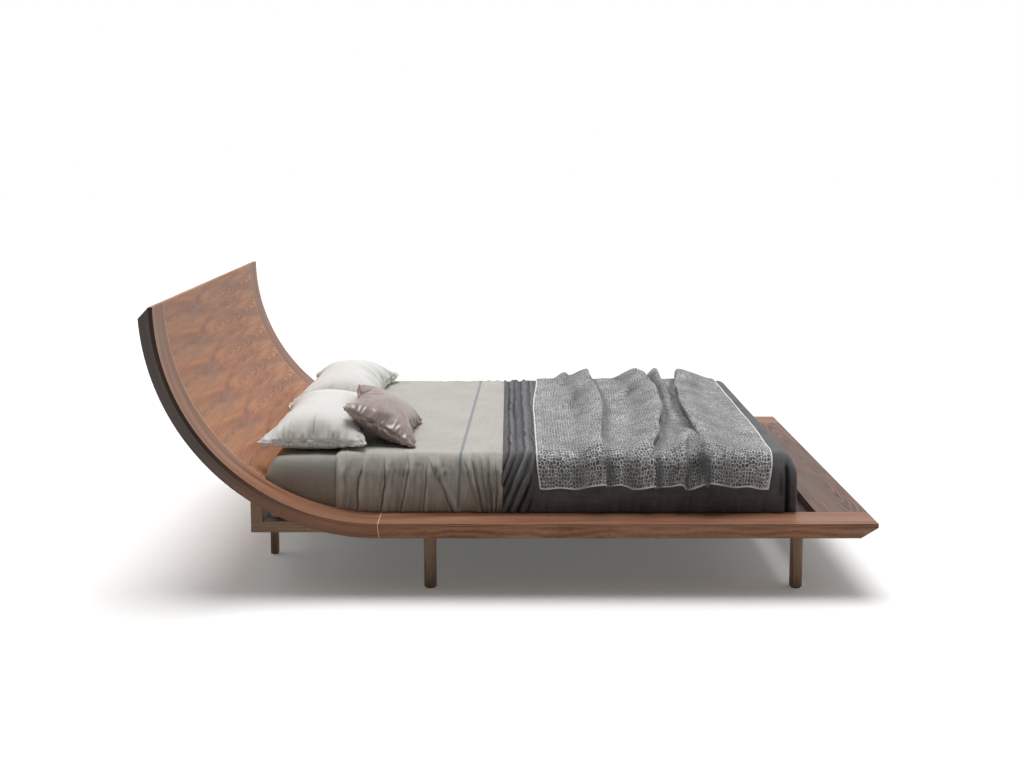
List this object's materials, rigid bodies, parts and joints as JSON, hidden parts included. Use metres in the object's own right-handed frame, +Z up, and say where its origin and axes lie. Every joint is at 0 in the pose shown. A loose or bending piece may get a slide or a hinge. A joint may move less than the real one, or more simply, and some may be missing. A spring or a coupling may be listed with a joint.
{
  "type": "sleigh bed",
  "caption": "Low platform bed with wide bevelled side rails that sweep up in a quarter circle into a curved veneered headboard, on a slatted base with round legs, made up with bedding.",
  "frame": {"origin": "on the floor, under the middle of the bed's outline", "axes": "+X from the headboard to the foot, +Z up, +Y to the left of a person lying on their back with the head at the headboard"},
  "size_m": [2.7247, 1.94, 1.085],
  "materials": {
    "walnut_rail": "satin",
    "walnut_veneer": "satin",
    "pale_inlay": "satin",
    "walnut_base": "satin",
    "birch_slat": "satin",
    "beech_dowel": "satin",
    "black_nylon": "matte",
    "pad_rubber": "matte",
    "glide_nylon": "matte",
    "zinc_steel": "satin",
    "mattress_ticking": "matte",
    "sheet_cotton": "matte",
    "cover_linen": "matte",
    "blanket_wool": "matte",
    "throw_jacquard": "matte",
    "pillow_cotton": "matte",
    "cushion_satin": "matte"
  },
  "bodies": {
    "frame": {"left_side_rail": "walnut_rail", "left_headboard_stile": "walnut_rail", "left_panel_inlay": "pale_inlay", "left_joint_inlay": "pale_inlay", "left_base_rail": "walnut_base", "left_head_post": "walnut_base", "left_middle_leg": "walnut_base", "left_foot_leg": "walnut_base", "left_head_leg": "walnut_base", "left_slat_holders": "black_nylon", "right_side_rail": "walnut_rail", "right_headboard_stile": "walnut_rail", "right_panel_inlay": "pale_inlay", "right_joint_inlay": "pale_inlay", "right_base_rail": "walnut_base", "right_head_post": "walnut_base", "right_middle_leg": "walnut_base", "right_foot_leg": "walnut_base", "right_head_leg": "walnut_base", "right_slat_holders": "black_nylon", "headboard_panel": "walnut_veneer", "foot_panel": "walnut_veneer", "head_cross_rail": "walnut_base", "foot_cross_rail": "walnut_base", "centre_beam": "walnut_base", "centre_leg_1": "walnut_base", "centre_leg_2": "walnut_base", "centre_slat_pads": "pad_rubber", "leg_glides": "glide_nylon", "leg_studs": "zinc_steel", "joint_dowels": "beech_dowel", "joint_bolts": "zinc_steel", "joint_barrels": "zinc_steel", "foot_dowels": "beech_dowel", "base_dowels": "beech_dowel", "base_screws": "zinc_steel", "post_bolts": "zinc_steel", "slat_01": "birch_slat", "slat_02": "birch_slat", "slat_03": "birch_slat", "slat_04": "birch_slat", "slat_05": "birch_slat", "slat_06": "birch_slat", "slat_07": "birch_slat", "slat_08": "birch_slat", "slat_09": "birch_slat", "slat_10": "birch_slat", "slat_11": "birch_slat", "slat_12": "birch_slat", "slat_13": "birch_slat"},
    "mattress": {"mattress": "mattress_ticking", "fitted_sheet": "sheet_cotton", "light_cover": "cover_linen", "dark_blanket": "blanket_wool", "throw": "throw_jacquard"},
    "right_pillow": {"right_pillow": "pillow_cotton"},
    "left_pillow": {"left_pillow": "pillow_cotton"},
    "cushion": {"cushion": "cushion_satin"}
  },
  "joints": [
    {"name": "mattress_lift", "type": "slide", "parent": "frame", "child": "mattress", "axis": [0, 0, 1], "range_m": [0, 0.4]},
    {"name": "right_pillow_lift", "type": "slide", "parent": "mattress", "child": "right_pillow", "axis": [0, 0, 1], "range_m": [0, 0.3]},
    {"name": "left_pillow_lift", "type": "slide", "parent": "mattress", "child": "left_pillow", "axis": [0, 0, 1], "range_m": [0, 0.3]},
    {"name": "cushion_lift", "type": "slide", "parent": "right_pillow", "child": "cushion", "axis": [0, 0, 1], "range_m": [0, 0.3]}
  ]
}
